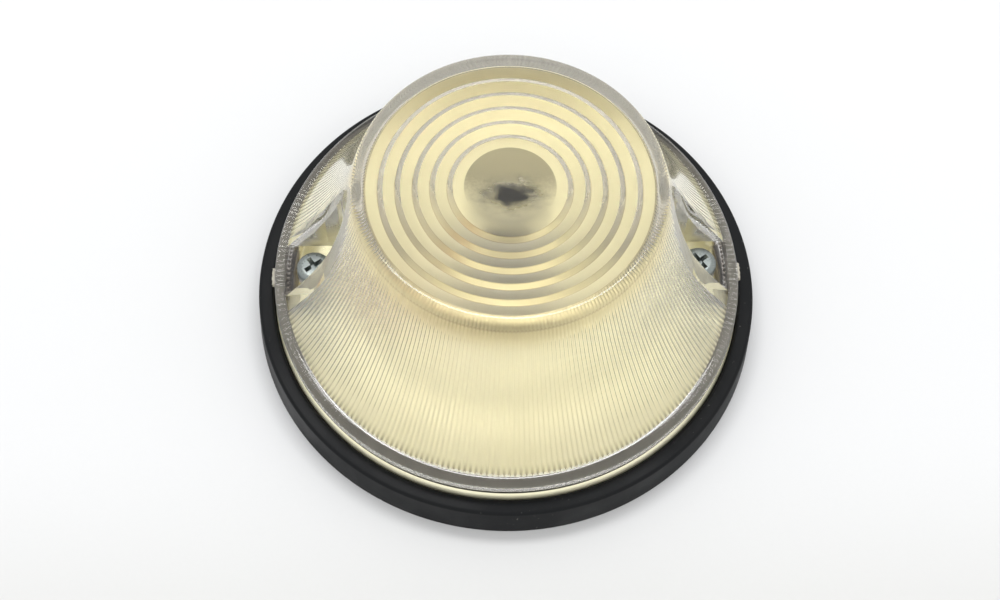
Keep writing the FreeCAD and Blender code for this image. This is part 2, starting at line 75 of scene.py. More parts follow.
camera = bpy.data.objects.new("camera", bpy.data.cameras.new("camera"))
bpy.context.scene.collection.objects.link(camera)
bpy.context.scene.camera = camera
camera.data.sensor_width = 36
camera.data.lens = FOCAL_PIXELS * camera.data.sensor_width / PICTURE_WIDTH
camera.data.clip_start = 10 * MM
camera.matrix_world = (
    Matrix.Rotation(CAMERA_TURN, 4, "Z")
    @ Matrix.Translation(CAMERA_TARGET)
    @ Matrix.Rotation(math.pi / 2 - CAMERA_ELEVATION, 4, "X")
    @ Matrix.Translation((0, 0, CAMERA_DISTANCE))
    @ Matrix.Rotation(CAMERA_ROLL, 4, "Z")
)
print("camera", round(camera.data.lens, 1), "mm lens, at", [round(x, 3) for x in camera.location])

# %% [markdown]
# ## Helpers for turned pieces
# Nearly every piece of this lamp is turned or moulded round one axis. A turned piece needs only its
# section: a row of corners, each with the radius of its rounding. The vertex bevel rounds the corners, and
# spin carries the section round the axis. Points on the axis come out many times, so doubles are merged,
# and then the normals are made to point outwards.

# %% Section and spin
MERGE = 1e-7
ROUND_SEGMENTS = 5
ROUND_STEPS = 256
SHARP_EDGE = math.radians(30)


def draw_section(bm, corners, closed, segments=ROUND_SEGMENTS):
    """Draws corners (radius, height, rounding) in millimetres as a wire in the XZ plane."""
    verts = [bm.verts.new((corner[0] * MM, 0, corner[1] * MM)) for corner in corners]
    ends = verts[1:] + verts[:1] if closed else verts[1:]
    for start, end in zip(verts, ends):
        bm.edges.new((start, end))
    spots = [Vector((corner[0], corner[1])) * MM for corner in corners]
    for i, corner in enumerate(corners):
        if len(corner) == 3:
            back = spots[i - 1] - spots[i]
            ahead = spots[(i + 1) % len(spots)] - spots[i]
            reach = corner[2] * MM / math.tan(back.angle(ahead) / 2)
            bmesh.ops.bevel(bm, geom=[verts[i]], affect="VERTICES", offset=reach, segments=segments,
                            profile=0.5, material=-1)


def spin_section(bm, steps):
    """Carries the wire once round the Z axis and closes it."""
    bmesh.ops.spin(bm, geom=bm.verts[:] + bm.edges[:], cent=(0, 0, 0), axis=(0, 0, 1), angle=2 * math.pi,
                   steps=steps, use_merge=True)
    bmesh.ops.remove_doubles(bm, verts=bm.verts, dist=MERGE)
    bmesh.ops.recalc_face_normals(bm, faces=bm.faces)


def turned(corners, steps=ROUND_STEPS, closed=True):
    bm = bmesh.new()
    draw_section(bm, corners, closed)
    spin_section(bm, steps)
    return bm


def finish_piece(name, bm, material, node, sharp=SHARP_EDGE, smooth_edge=None):
    """Makes the object, shades it smooth between its sharp edges, and puts it in the frame."""
    for face in bm.faces:
        face.smooth = True
    for edge in bm.edges:
        keep_soft = smooth_edge is not None and smooth_edge(edge)
        edge.smooth = keep_soft or edge.calc_face_angle(0) < sharp
    mesh = bpy.data.meshes.new(name)
    bm.to_mesh(mesh)
    bm.free()
    piece = bpy.data.objects.new(name, mesh)
    bpy.context.scene.collection.objects.link(piece)
    piece.data.materials.append(material)
    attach(piece, "root")
    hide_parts(node)
    print(name, len(mesh.polygons), "faces")
    return piece


print("turning helpers ready")

# %% [markdown]
# ## Helpers for cut pieces
# Screw wells, holes and recesses are cut with the Boolean modifier. Its manifold solver is quick and clean
# as long as both shapes are closed. Cutting shapes are drawn with the same operators as the pieces: a
# circle with one half moved out makes a slot, and extruding it makes the cutter.

# %% Boolean and slot
OVERRUN = 1.0


def as_object(bm):
    mesh = bpy.data.meshes.new("shape")
    bm.to_mesh(mesh)
    bm.free()
    shape = bpy.data.objects.new("shape", mesh)
    bpy.context.scene.collection.objects.link(shape)
    return shape


def combine(bm, other, operation):
    """UNION, DIFFERENCE or INTERSECT of two closed meshes. Both are used up."""
    first, second = as_object(bm), as_object(other)
    modifier = first.modifiers.new("combine", "BOOLEAN")
    modifier.solver = "MANIFOLD"
    modifier.operation = operation
    modifier.object = second
    result = bmesh.new()
    result.from_object(first, bpy.context.evaluated_depsgraph_get())
    for shape in (first, second):
        mesh = shape.data
        bpy.data.objects.remove(shape)
        bpy.data.meshes.remove(mesh)
    return result


def slot_block(half_width, length, low, high, x=0.0, y=0.0, turn=0.0, segments=64):
    """Upright slot with round ends, or a round bar where the length is 0."""
    bm = bmesh.new()
    bmesh.ops.create_circle(bm, cap_ends=True, segments=segments, radius=half_width * MM)
    outer = [vert for vert in bm.verts if vert.co.x > MERGE]
    bmesh.ops.translate(bm, verts=outer, vec=(length * MM, 0, 0))
    top = bmesh.ops.extrude_face_region(bm, geom=bm.faces[:])["geom"]
    top = [part for part in top if isinstance(part, bmesh.types.BMVert)]
    bmesh.ops.translate(bm, verts=top, vec=(0, 0, (high - low) * MM))
    bmesh.ops.translate(bm, verts=bm.verts, vec=(x * MM, y * MM, low * MM))
    bmesh.ops.rotate(bm, verts=bm.verts, cent=(0, 0, 0), matrix=Matrix.Rotation(turn, 3, "Z"))
    bmesh.ops.recalc_face_normals(bm, faces=bm.faces)
    return bm


BOTH_SIDES = (0.0, math.pi)
print("cutting helpers ready")

# %% [markdown]
# ## Helpers for finishes
# A finish is a small tree of nodes that ends in the Principled shader. Its patterns read Object
# coordinates, which are metres on the lamp itself, so a pattern keeps its real scale and stays put when the
# lamp is turned. One helper adds a node and fills its sockets with numbers or with links.

# %% Nodes
def add(material, kind, inputs=None, **options):
    node = material.node_tree.nodes.new("ShaderNode" + kind)
    for option, value in options.items():
        setattr(node, option, value)
    for socket, value in (inputs or {}).items():
        if isinstance(value, bpy.types.NodeSocket):
            material.node_tree.links.new(value, node.inputs[socket])
        else:
            node.inputs[socket].default_value = value
    return node


def new_finish(name):
    """Material with its Principled shader and its Object coordinates."""
    material = bpy.data.materials.new(name)
    material.use_nodes = True
    shader = material.node_tree.nodes["Principled BSDF"]
    place = add(material, "TexCoord").outputs["Object"]
    return material, shader, place


def link(material, source, socket):
    material.node_tree.links.new(source, socket)


def noise(material, place, scale, detail=4.0, stretch=None):
    """Noise from 0 to 1, with that many spots to the metre, drawn out along an axis if asked."""
    if stretch is not None:
        place = add(material, "Mapping", {"Vector": place, "Scale": stretch}).outputs["Vector"]
    return add(material, "TexNoise", {"Vector": place, "Scale": scale, "Detail": detail}).outputs["Fac"]


def remap(material, value, low, high, out_low=0.0, out_high=1.0):
    """Smooth step from one range to another."""
    inputs = {"Value": value, "From Min": low, "From Max": high, "To Min": out_low, "To Max": out_high}
    return add(material, "MapRange", inputs, interpolation_type="SMOOTHSTEP").outputs["Result"]


def blend_colour(material, share, first, second):
    inputs = {0: share, 6: first, 7: second}
    return add(material, "Mix", inputs, data_type="RGBA").outputs[2]


def math_node(material, operation, first, second):
    return add(material, "Math", {0: first, 1: second}, operation=operation).outputs[0]


def vector_node(material, operation, first, second=(0, 0, 0)):
    node = add(material, "VectorMath", {0: first, 1: second}, operation=operation)
    return node.outputs["Value" if operation in ("LENGTH", "DISTANCE") else "Vector"]


def from_axis(material, place):
    """Distance from the lamp's axis."""
    return vector_node(material, "LENGTH", vector_node(material, "MULTIPLY", place, (1, 1, 0)))


def bump(material, height, strength, depth):
    """Normal of a surface that rises and falls by that depth, in millimetres."""
    inputs = {"Height": height, "Strength": strength, "Distance": depth * MM}
    return add(material, "Bump", inputs).outputs["Normal"]


print("finish helpers ready")

# %% [markdown]
# ## Floor and light
# The photograph was taken in a bright tent on white paper. The paper's colour is darker towards the viewer,
# painted shade for the light falling off there. A white world, a little brighter at the front than behind,
# gives the soft shadow round the gasket. One strip lamp above and behind deepens the shadow. It is wide, so
# that it lights the plate through the frosted wall, and it hangs where the flat top doesn't mirror it to the
# camera.

# %% Paper floor
FLOOR_SIZE = 3000
FLOOR_DROP = 0.02
PAPER = (0.72, 0.726, 0.732, 1)
PAPER_FRONT_SHADE = (0.625, 0.625, 0.607, 1)
PAPER_SHADE_FADE = (-30 * MM, -110 * MM)
PAPER_GRAIN = 0.02


def paper_finish():
    material, shader, place = new_finish("paper")
    along = add(material, "SeparateXYZ", {"Vector": place}).outputs["Y"]
    # Painted shade: the paper's colour grows darker towards the front.
    front = remap(material, along, *PAPER_SHADE_FADE)
    grain = remap(material, noise(material, place, 900), 0.3, 0.7, -PAPER_GRAIN, PAPER_GRAIN)
    share = math_node(material, "ADD", front, grain)
    link(material, blend_colour(material, share, PAPER, PAPER_FRONT_SHADE), shader.inputs["Base Color"])
    shader.inputs["Roughness"].default_value = 0.9
    shader.inputs["Specular IOR Level"].default_value = 0.1
    return material


bm = bmesh.new()
bmesh.ops.create_grid(bm, x_segments=1, y_segments=1, size=FLOOR_SIZE * MM / 2)
bmesh.ops.translate(bm, verts=bm.verts, vec=(0, 0, -FLOOR_DROP * MM))
floor = as_object(bm)
floor.name = "floor"
floor.data.materials.append(paper_finish())
print("floor", FLOOR_SIZE, "mm wide")

# %% Tent light and lamp
WORLD_FRONT = 1.15
WORLD_BACK = 0.92
WORLD_FADE = (-0.6, 0.7)
LAMP_POWER = 1.4
LAMP_WIDTH = 420 * MM
LAMP_DEPTH = 110 * MM
LAMP_PLACE = Vector((0, 148 * MM, 560 * MM))

world = bpy.data.worlds.new("tent")
bpy.context.scene.world = world
world.use_nodes = True
direction = add(world, "TexCoord").outputs["Generated"]
depth = add(world, "SeparateXYZ", {"Vector": direction}).outputs["Y"]
level = remap(world, depth, *WORLD_FADE, WORLD_FRONT, WORLD_BACK)
link(world, level, world.node_tree.nodes["Background"].inputs["Strength"])
world.node_tree.nodes["Background"].inputs["Color"].default_value = (1, 1, 1, 1)

lamp = bpy.data.objects.new("lamp", bpy.data.lights.new("lamp", "AREA"))
bpy.context.scene.collection.objects.link(lamp)
lamp.data.shape = "RECTANGLE"
lamp.data.size = LAMP_WIDTH
lamp.data.size_y = LAMP_DEPTH
lamp.data.energy = LAMP_POWER
lamp.location = LAMP_PLACE
lamp.rotation_euler = (-LAMP_PLACE).to_track_quat("-Z", "Y").to_euler()
bpy.context.scene.view_settings.view_transform = "Standard"
print("tent light", WORLD_FRONT, "to", WORLD_BACK, "and one lamp of", LAMP_POWER, "W")

# %% [markdown]
# ## Rubber gasket
# A black moulded ring: a floor under the plate and a wall round it that leans in a little. It is turned
# from its section, with a shallow flat beside each screw and the two fixing holes cut afterwards. Rubber is
# dark, so most of what the eye sees is a dull sheen, a fine grain and a little dust.

# %% Rubber
GASKET_BLACK = (0.0031, 0.0035, 0.004, 1)
GASKET_GREY = (0.00682, 0.0077, 0.0088, 1)
GASKET_DUST = (0.16, 0.155, 0.145, 1)


def gasket_finish():
    material, shader, place = new_finish("gasket_rubber")
    cloud = noise(material, place, 60)
    dust = remap(material, noise(material, place, 1400, 2), 0.7, 0.78)
    dust = math_node(material, "MULTIPLY", dust, remap(material, cloud, 0.45, 0.7))
    shade = blend_colour(material, cloud, GASKET_BLACK, GASKET_GREY)
    link(material, blend_colour(material, dust, shade, GASKET_DUST), shader.inputs["Base Color"])
    link(material, remap(material, cloud, 0.3, 0.7, 0.4, 0.6), shader.inputs["Roughness"])
    grain = noise(material, place, 2500, 3)
    link(material, bump(material, grain, 0.35, 0.05), shader.inputs["Normal"])
    shader.inputs["Specular IOR Level"].default_value = 0.15
    return material


# %% Gasket
gasket_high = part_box("base_gasket")[1] / MM
plate_low, plate_high = (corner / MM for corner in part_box("base_plate"))
GASKET_R = gasket_high.y
GASKET_TOP = gasket_high.z
GASKET_FLOOR = plate_low.z
PAN_R = plate_high.y
RUBBER_PLAY = 0.15
GASKET_DRAFT = 0.6
GASKET_EDGE = 0.8
GASKET_FOOT_EDGE = 0.3
GASKET_OPENING_R = 29.0
NOTCH_WIDTH = 6.5
NOTCH_STRETCH = 3
MOUNT_X = 34.0
MOUNT_HOLE_R = 2.6

bm = turned([
    (GASKET_OPENING_R, 0, GASKET_FOOT_EDGE),
    (GASKET_R, 0, GASKET_FOOT_EDGE),
    (GASKET_R - GASKET_DRAFT, GASKET_TOP, GASKET_EDGE),
    (PAN_R + RUBBER_PLAY, GASKET_TOP, GASKET_EDGE),
    (PAN_R + RUBBER_PLAY, GASKET_FLOOR),
    (GASKET_OPENING_R, GASKET_FLOOR, GASKET_FOOT_EDGE),
])
for turn in BOTH_SIDES:
    notch = bmesh.new()
    bmesh.ops.create_cube(notch, size=NOTCH_WIDTH * MM)
    reach = gasket_high.x + NOTCH_WIDTH / 2
    bmesh.ops.scale(notch, verts=notch.verts, vec=(1, 1, NOTCH_STRETCH))
    bmesh.ops.translate(notch, verts=notch.verts, vec=(reach * MM, 0, 0))
    bmesh.ops.rotate(notch, verts=notch.verts, cent=(0, 0, 0), matrix=Matrix.Rotation(turn, 3, "Z"))
    bm = combine(bm, notch, "DIFFERENCE")
    hole = slot_block(MOUNT_HOLE_R, 0, -OVERRUN, GASKET_FLOOR + OVERRUN, x=MOUNT_X, turn=turn)
    bm = combine(bm, hole, "DIFFERENCE")
finish_piece("gasket", bm, gasket_finish(), "base_gasket")

# %% [markdown]
# ## Pressed base plate
# The plate is one pressed sheet: a raised middle for the bulb holder, a flat floor, an upright rim with a
# round shoulder and a lip turned in under the lens. Its upper side is spun as a thin surface and then given
# the sheet's thickness. The plating has a pale yellow passivation, which is what makes the whole lens glow
# cream. A rusty patch has grown on the left of the upper side, so the faces that look up have a finish of
# their own.

# %% Passivated plating
PLATING_PALE = (0.97, 0.94, 0.72, 1)
PLATING_YELLOW = (0.97, 0.925, 0.64, 1)
PLATING_METALLIC = 0.65
RUST = (0.72, 0.44, 0.17, 1)
RUST_PLACE = (-20 * MM, 1 * MM, 5 * MM)
RUST_REACH = 10 * MM
RUST_FADE = 9 * MM
RUST_RAGGED = 14 * MM


def rust_patch(material, place, cloud, fine):
    """Share of rust: full in the middle of the patch, ragged and speckled towards its edge."""
    away = vector_node(material, "DISTANCE", place, RUST_PLACE)
    away = math_node(material, "ADD", away, math_node(material, "MULTIPLY", cloud, RUST_RAGGED))
    patch = remap(material, away, RUST_REACH + RUST_FADE, RUST_REACH)
    return math_node(material, "MULTIPLY", patch, remap(material, fine, 0.35, 0.6, 0.35, 1.0))


def plating_finish(name, rusty):
    material, shader, place = new_finish(name)
    cloud = noise(material, place, 45)
    fine = noise(material, place, 700, 6)
    tone = blend_colour(material, cloud, PLATING_PALE, PLATING_YELLOW)
    shader.inputs["Metallic"].default_value = PLATING_METALLIC
    if rusty:
        rust = rust_patch(material, place, cloud, fine)
        tone = blend_colour(material, rust, tone, RUST)
        link(material, remap(material, rust, 0, 1, PLATING_METALLIC, 0.0), shader.inputs["Metallic"])
    link(material, tone, shader.inputs["Base Color"])
    link(material, remap(material, fine, 0.3, 0.7, 0.32, 0.46), shader.inputs["Roughness"])
    link(material, bump(material, fine, 0.08, 0.02), shader.inputs["Normal"])
    return material


# %% Plate
SHEET = 0.8
FLOOR_TOP = plate_low.z + SHEET
RIM_TOP = plate_high.z
RIM_LIP = 3.6
RIM_BEND = 1.6
PLATEAU_R = 25.0
PLATEAU_SLOPE = 2.0
PLATEAU_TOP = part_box("bulb_holder")[0].z / MM
BEND = 0.8
BEND_SEGMENTS = 8
CONTACT_HOLE_R = 6.5
SCREW_X = (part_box("screw_posts")[0].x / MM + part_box("screw_posts")[1].y / MM) * -1
SPIGOT_HOLE_R = 3.1
RIVET_X = 11.8
RIVET_HOLE_R = 1.3
EARTH_SPOT = (-6.0, -18.0)

inside_r = PAN_R - SHEET
bm = bmesh.new()
draw_section(bm, [
    (CONTACT_HOLE_R, PLATEAU_TOP),
    (PLATEAU_R, PLATEAU_TOP, BEND + SHEET),
    (PLATEAU_R + PLATEAU_SLOPE, FLOOR_TOP, BEND),
    (inside_r, FLOOR_TOP, BEND),
    (inside_r, RIM_TOP - SHEET, RIM_BEND),
    (PAN_R - RIM_LIP, RIM_TOP - SHEET),
], closed=False, segments=BEND_SEGMENTS)
spin_section(bm, ROUND_STEPS)
if sum(face.normal.z for face in bm.faces) > 0:
    bmesh.ops.reverse_faces(bm, faces=bm.faces)
bmesh.ops.solidify(bm, geom=bm.faces[:], thickness=-SHEET * MM)
bmesh.ops.recalc_face_normals(bm, faces=bm.faces)
plate_span = (GASKET_FLOOR - OVERRUN, PLATEAU_TOP + OVERRUN)
holes = [slot_block(RIVET_HOLE_R, 0, *plate_span, x=EARTH_SPOT[0], y=EARTH_SPOT[1])]
for turn in BOTH_SIDES:
    holes.append(slot_block(MOUNT_HOLE_R, 0, *plate_span, x=MOUNT_X, turn=turn))
    holes.append(slot_block(SPIGOT_HOLE_R, 0, *plate_span, x=SCREW_X, turn=turn))
    holes.append(slot_block(RIVET_HOLE_R, 0, *plate_span, x=RIVET_X, turn=turn))
for hole in holes:
    bm = combine(bm, hole, "DIFFERENCE")
UNDERSIDE, UPPER_SIDE = range(2)
for face in bm.faces:
    face.material_index = UPPER_SIDE if face.normal.z > 0 else UNDERSIDE
underside_plating = plating_finish("passivated_plating", rusty=False)
plate = finish_piece("plate", bm, underside_plating, "base_plate")
plate.data.materials.append(plating_finish("rusty_plating", rusty=True))
print("screws at", round(SCREW_X, 2), "mm")

# %% [markdown]
# ## Lens seal
# A brown-grey rubber ring between the plate's lip and the lens. Its lower side follows the rim's round
# shoulder, so a plain ring is turned first and the shape of the rim is cut from it. A hair of air is left
# under the lens, so that the two faces don't lie in one plane. The seal's outer edge is darkened with
# painted shade, the thin dark line above the bright rim under the overhanging skirt.

# %% Seal
seal_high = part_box("lens_seal")[1] / MM
SEAL_R = seal_high.y
SEAL_INSET = 0.2
SEAL_INSIDE_R = PAN_R - RIM_LIP + SEAL_INSET
HAIR_GAP = 0.05
SEAL_TOP = seal_high.z - HAIR_GAP
SEAL_BROWN = (0.1, 0.09, 0.07, 1)
SEAL_GREY = (0.21, 0.195, 0.16, 1)
SEAL_PAINTED_SHADE = (0.03, 0.025, 0.02, 1)
SEAL_SHADE_WIDTH = 0.25


def seal_finish():
    material, shader, place = new_finish("seal_rubber")
    cloud = noise(material, place, 300)
    tone = blend_colour(material, cloud, SEAL_BROWN, SEAL_GREY)
    # Painted shade: the seal's outer edge is darkened, the dark line under the overhanging skirt.
    shade_start, shade_full = (SEAL_R - SEAL_SHADE_WIDTH) * MM, (SEAL_R - SEAL_SHADE_WIDTH / 2) * MM
    edge_shade = remap(material, from_axis(material, place), shade_start, shade_full)
    link(material, blend_colour(material, edge_shade, tone, SEAL_PAINTED_SHADE), shader.inputs["Base Color"])
    link(material, remap(material, cloud, 0.3, 0.7, 0.55, 0.75), shader.inputs["Roughness"])
    shader.inputs["Specular IOR Level"].default_value = 0.2
    return material


ring = turned([
    (SEAL_INSIDE_R, FLOOR_TOP), (SEAL_R, FLOOR_TOP), (SEAL_R, SEAL_TOP), (SEAL_INSIDE_R, SEAL_TOP),
])
rim = turned([(0, 0), (PAN_R, 0), (PAN_R, RIM_TOP, RIM_BEND + SHEET), (0, RIM_TOP)], closed=False)
finish_piece("seal", combine(ring, rim, "DIFFERENCE"), seal_finish(), "lens_seal")

# %% [markdown]
# ## Lens section
# The lens is the piece that takes the most care. Outside it is smooth: a flat top, a trumpet-shaped wall
# and a short skirt. Inside it is an optical part: a bull's eye and five stepped rings under the top, and
# 256 fine flutes down the wall. The section is drawn once and spun with four steps to each flute, so that
# the flutes can be pressed in afterwards by moving the points of the inner wall.

# %% Lens sizes
lens_low, lens_high = (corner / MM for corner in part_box("lens"))
LENS_TOP = lens_high.z
LENS_FOOT = lens_low.z
LENS_R = lens_high.y
SKIRT_HEIGHT = 3.7
SHOULDER_STEP = 2.5
SHOULDER_ROUND = 1.8
LENS_TOP_R = 33.2
TRUMPET_SAG = 1.8
TOP_ROUND = 1.5
LENS_WALL = 2.8
TOP_WALL = 2.4
FOOT_ROUND = 0.25
SHOULDER_Z = LENS_FOOT + SKIRT_HEIGHT
CONE_FOOT_R = LENS_R - SHOULDER_STEP
SKIRT_CEILING = SHOULDER_Z - LENS_WALL
CEILING = LENS_TOP - TOP_WALL
CONE_ROWS = 9


def cone_radius(z):
    """Outside of the trumpet: a circular arc from the shoulder up to the rim."""
    chord = Vector((LENS_TOP_R - CONE_FOOT_R, LENS_TOP - SHOULDER_Z))
    radius = (chord.length_squared / 4 + TRUMPET_SAG ** 2) / (2 * TRUMPET_SAG)
    outward = Vector((chord.y, -chord.x)).normalized()
    centre = Vector((CONE_FOOT_R, SHOULDER_Z)) + chord / 2 + outward * (radius - TRUMPET_SAG)
    return centre.x - math.sqrt(radius ** 2 - (z - centre.y) ** 2)


def cone_points(low, high, inset, rows):
    """Points up the trumpet at that depth below its outside."""
    heights = [low + (high - low) * row / rows for row in range(rows + 1)]
    return [(cone_radius(z) - inset, z) for z in heights]


print("trumpet radius at mid height", round(cone_radius((SHOULDER_Z + LENS_TOP) / 2), 2), "mm")

# %% Rings and bull's eye
DISC_PROUD = 0.3
BULLSEYE_R = 9.7
BULLSEYE_BULGE = 1.6
BULLSEYE_ROWS = 8
RING_COUNT = 5
RING_FIRST_R = 12.2
RING_PITCH = 3.67
RING_DEPTH = 1.0
RISER_WIDTH = 1.2
RING_ROUND = 0.12
LAND = CEILING - DISC_PROUD


def ring_points():
    """Stepped rings, from the rim of the disc inwards."""
    points = [(RING_FIRST_R + RING_COUNT * RING_PITCH, CEILING)]
    for ring in reversed(range(RING_COUNT)):
        start = RING_FIRST_R + ring * RING_PITCH
        points.append((start + RING_PITCH, LAND))
        points.append((start + RISER_WIDTH, LAND - RING_DEPTH, RING_ROUND))
    return points + [(RING_FIRST_R, LAND)]


def bullseye_points():
    """Shallow ball surface that bulges down in the middle."""
    ball = (BULLSEYE_R ** 2 + BULLSEYE_BULGE ** 2) / (2 * BULLSEYE_BULGE)
    widest = math.asin(BULLSEYE_R / ball)
    angles = [widest * row / BULLSEYE_ROWS for row in reversed(range(BULLSEYE_ROWS + 1))]
    return [(ball * math.sin(a), LAND - BULLSEYE_BULGE + ball * (1 - math.cos(a))) for a in angles]


print("disc radius", RING_FIRST_R + RING_COUNT * RING_PITCH, "mm")

# %% Spin the lens and press the flutes
FLUTES = 256
STEPS_PER_FLUTE = 4
LENS_SEGMENTS = 4
FLUTE_DEPTH = 0.34
FLUTE_ROWS = 6
FOOT_DEPTH = 0.2
FLAT_R = LENS_TOP_R - TOP_ROUND
NEAR = 0.01

outside = cone_points(SHOULDER_Z, LENS_TOP, 0, CONE_ROWS)[::-1]
inside = cone_points(SKIRT_CEILING, CEILING, LENS_WALL, FLUTE_ROWS)
section = [(0, LENS_TOP), (FLAT_R, LENS_TOP), (LENS_TOP_R, LENS_TOP, TOP_ROUND)] + outside[1:]
section += [
    (LENS_R, SHOULDER_Z, SHOULDER_ROUND),
    (LENS_R, LENS_FOOT, FOOT_ROUND),
    (LENS_R - LENS_WALL, LENS_FOOT, FOOT_ROUND),
    (LENS_R - LENS_WALL, SKIRT_CEILING),
]
section += inside + ring_points() + bullseye_points()
lens = bmesh.new()
draw_section(lens, section, closed=False, segments=LENS_SEGMENTS)
spin_section(lens, FLUTES * STEPS_PER_FLUTE)


def on_fluted_wall(spot, reach):
    """Whether a point lies on the inner wall of the trumpet, to that many millimetres."""
    x, y, z = spot / MM
    if not SKIRT_CEILING - NEAR < z < CEILING + NEAR:
        return False
    return -reach < math.hypot(x, y) - cone_radius(z) + LENS_WALL < NEAR


def on_step(spot):
    """Whether a point lies where the step under the wall meets the skirt."""
    x, y, z = spot / MM
    return abs(z - SKIRT_CEILING) < NEAR and abs(math.hypot(x, y) - LENS_R + LENS_WALL) < NEAR


def on_foot(spot):
    """Whether a point lies on the underside of the skirt, but not at its outer edge."""
    x, y, z = spot / MM
    return z < LENS_FOOT + FOOT_ROUND + NEAR and math.hypot(x, y) < LENS_R - FOOT_ROUND - NEAR


for vert in lens.verts:
    wave = (1 - math.cos(FLUTES * math.atan2(vert.co.y, vert.co.x))) / 2
    if on_fluted_wall(vert.co, NEAR):
        shrink = 1 - FLUTE_DEPTH / CONE_FOOT_R * wave
        vert.co.x *= shrink
        vert.co.y *= shrink
    elif on_step(vert.co):
        vert.co.z -= FLUTE_DEPTH * MM * wave
    elif on_foot(vert.co):
        vert.co.z += FOOT_DEPTH * MM * wave
print("lens shell", len(lens.faces), "faces")

# %% [markdown]
# ## Screw wells and gate lugs
# Beside each screw the lens is sunk: a U-shaped well, open outwards, with a wall of its own inside the
# trumpet. The wall is made first: a wider slot, kept only where it lies inside the middle of the lens wall,
# is joined to the shell. Then the well itself and the screw hole are cut. The two ragged lugs on the skirt
# are what is left of the moulding gates.

# %% Cut the wells
WELL_HALF_WIDTH = 6.5
WELL_CENTRE = 41.0
WELL_LENGTH = 20.0
WELL_SEGMENTS = 96
SCREW_HOLE_R = 2.3
CUT_STEP = 0.01
MIDWALL = LENS_WALL / 2
MIDWALL_R = LENS_R - MIDWALL
MIDWALL_TOP = LENS_TOP - TOP_WALL / 2
CORE_SLOPE = 1.0

for turn in BOTH_SIDES:
    sleeve = slot_block(WELL_HALF_WIDTH + LENS_WALL, WELL_LENGTH, SKIRT_CEILING + CUT_STEP,
                        LENS_TOP + OVERRUN, x=WELL_CENTRE, turn=turn, segments=WELL_SEGMENTS)
    core_foot = [(0, SKIRT_CEILING), (MIDWALL_R, SKIRT_CEILING),
                 (MIDWALL_R - CORE_SLOPE, SKIRT_CEILING + MIDWALL)]
    core_side = cone_points(SHOULDER_Z, MIDWALL_TOP, MIDWALL, CONE_ROWS)
    core = turned(core_foot + core_side + [(0, MIDWALL_TOP)], closed=False)
    lens = combine(lens, combine(sleeve, core, "INTERSECT"), "UNION")
    well = slot_block(WELL_HALF_WIDTH, WELL_LENGTH, SHOULDER_Z + CUT_STEP, LENS_TOP + OVERRUN,
                      x=WELL_CENTRE, turn=turn, segments=WELL_SEGMENTS)
    lens = combine(lens, well, "DIFFERENCE")
    hole = slot_block(SCREW_HOLE_R, 0, SKIRT_CEILING - OVERRUN, SHOULDER_Z + OVERRUN, x=SCREW_X, turn=turn)
    lens = combine(lens, hole, "DIFFERENCE")
print("lens with wells", len(lens.faces), "faces")

# %% Gate lugs
LUG_WIDTH = 4.0
LUG_HEIGHT = 1.4
LUG_ROOT = 0.6
LUG_PROUD = lens_high.x - LENS_R
LUG_CUTS = 5
LUG_CHIP = 0.35
LUG_TEETH = Vector((0, 11, 4))

for turn in BOTH_SIDES:
    lug = bmesh.new()
    bmesh.ops.create_cube(lug, size=1)
    bmesh.ops.subdivide_edges(lug, edges=lug.edges, cuts=LUG_CUTS, use_grid_fill=True)
    for vert in lug.verts:
        if vert.co.x > 0:
            vert.co.x -= LUG_CHIP * abs(math.sin(LUG_TEETH.dot(vert.co) + turn))
    bmesh.ops.translate(lug, verts=lug.verts, vec=(0.5, 0, 0.5))
    size = ((LUG_PROUD + LUG_ROOT) * MM, LUG_WIDTH * MM, LUG_HEIGHT * MM)
    bmesh.ops.scale(lug, verts=lug.verts, vec=size)
    foot = ((LENS_R - LUG_ROOT) * MM, 0, (LENS_FOOT + NEAR) * MM)
    bmesh.ops.translate(lug, verts=lug.verts, vec=foot)
    bmesh.ops.rotate(lug, verts=lug.verts, cent=(0, 0, 0), matrix=Matrix.Rotation(turn, 3, "Z"))
    lens = combine(lens, lug, "UNION")
print("lens with lugs", len(lens.faces), "faces")

# %% [markdown]
# ## Clear and frosted acrylic
# The outside of the lens is polished, with fine scratches. The flutes and rings inside came from a blasted
# mould and are softly frosted, so that the plate shows as an even glow and not as a picture. The bull's eye
# above the bulb is hazy, with painted shade that deepens towards its back and a painted dark spot in its
# middle for the bulb's dark top seen through it. Dirt with painted shade lies on the floors of the wells,
# and painted shade darkens the feet of the flutes and the rings' lands, risers and edges. Three finishes do
# this,
# shared out face by face: outside, inside and the pale break of the lugs.

# %% Acrylic
ACRYLIC_IOR = 1.49
WALL_FROST = 0.56
DISC_FROST = 0.42
EYE_FROST = 0.55
EYE_SHADE = (-4 * MM, 5 * MM)
PAINTED_SPOT_PLACE = (0.4 * MM, -1.5 * MM, 0)
PAINTED_SPOT_STRETCH = (0.6, 1, 0)
PAINTED_SPOT_REACH = (3.6 * MM, 8.0 * MM)
PAINTED_SPOT_RAGGED = 4.2 * MM
PAINTED_SPOT_TINT = (0.0001, 0.0001, 0.00012, 1)
PAINTED_SPOT_GLOSS = 0.2
EYE_RAGGED = 3 * MM
EYE_EDGE = 0.15 * MM
EYE_PAINTED_SHADE = (0.22, 0.205, 0.17, 1)
SHELL_TINT = (0.995, 0.99, 0.965, 1)
WALL_TINT = (0.985, 0.965, 0.87, 1)
RIM_TINT = (0.88, 0.8, 0.6, 1)
RIM_RANGE = (42 * MM, 49 * MM)
CLEAR_TINT = (1.0, 0.97, 0.84, 1)
RING_PAINTED_SHADE = (0.7, 0.64, 0.49, 1)
RING_SHADE_FADE = (24 * MM, -6 * MM)
RING_EDGE_SHADE = (0.4, 0.31, 0.2, 1)
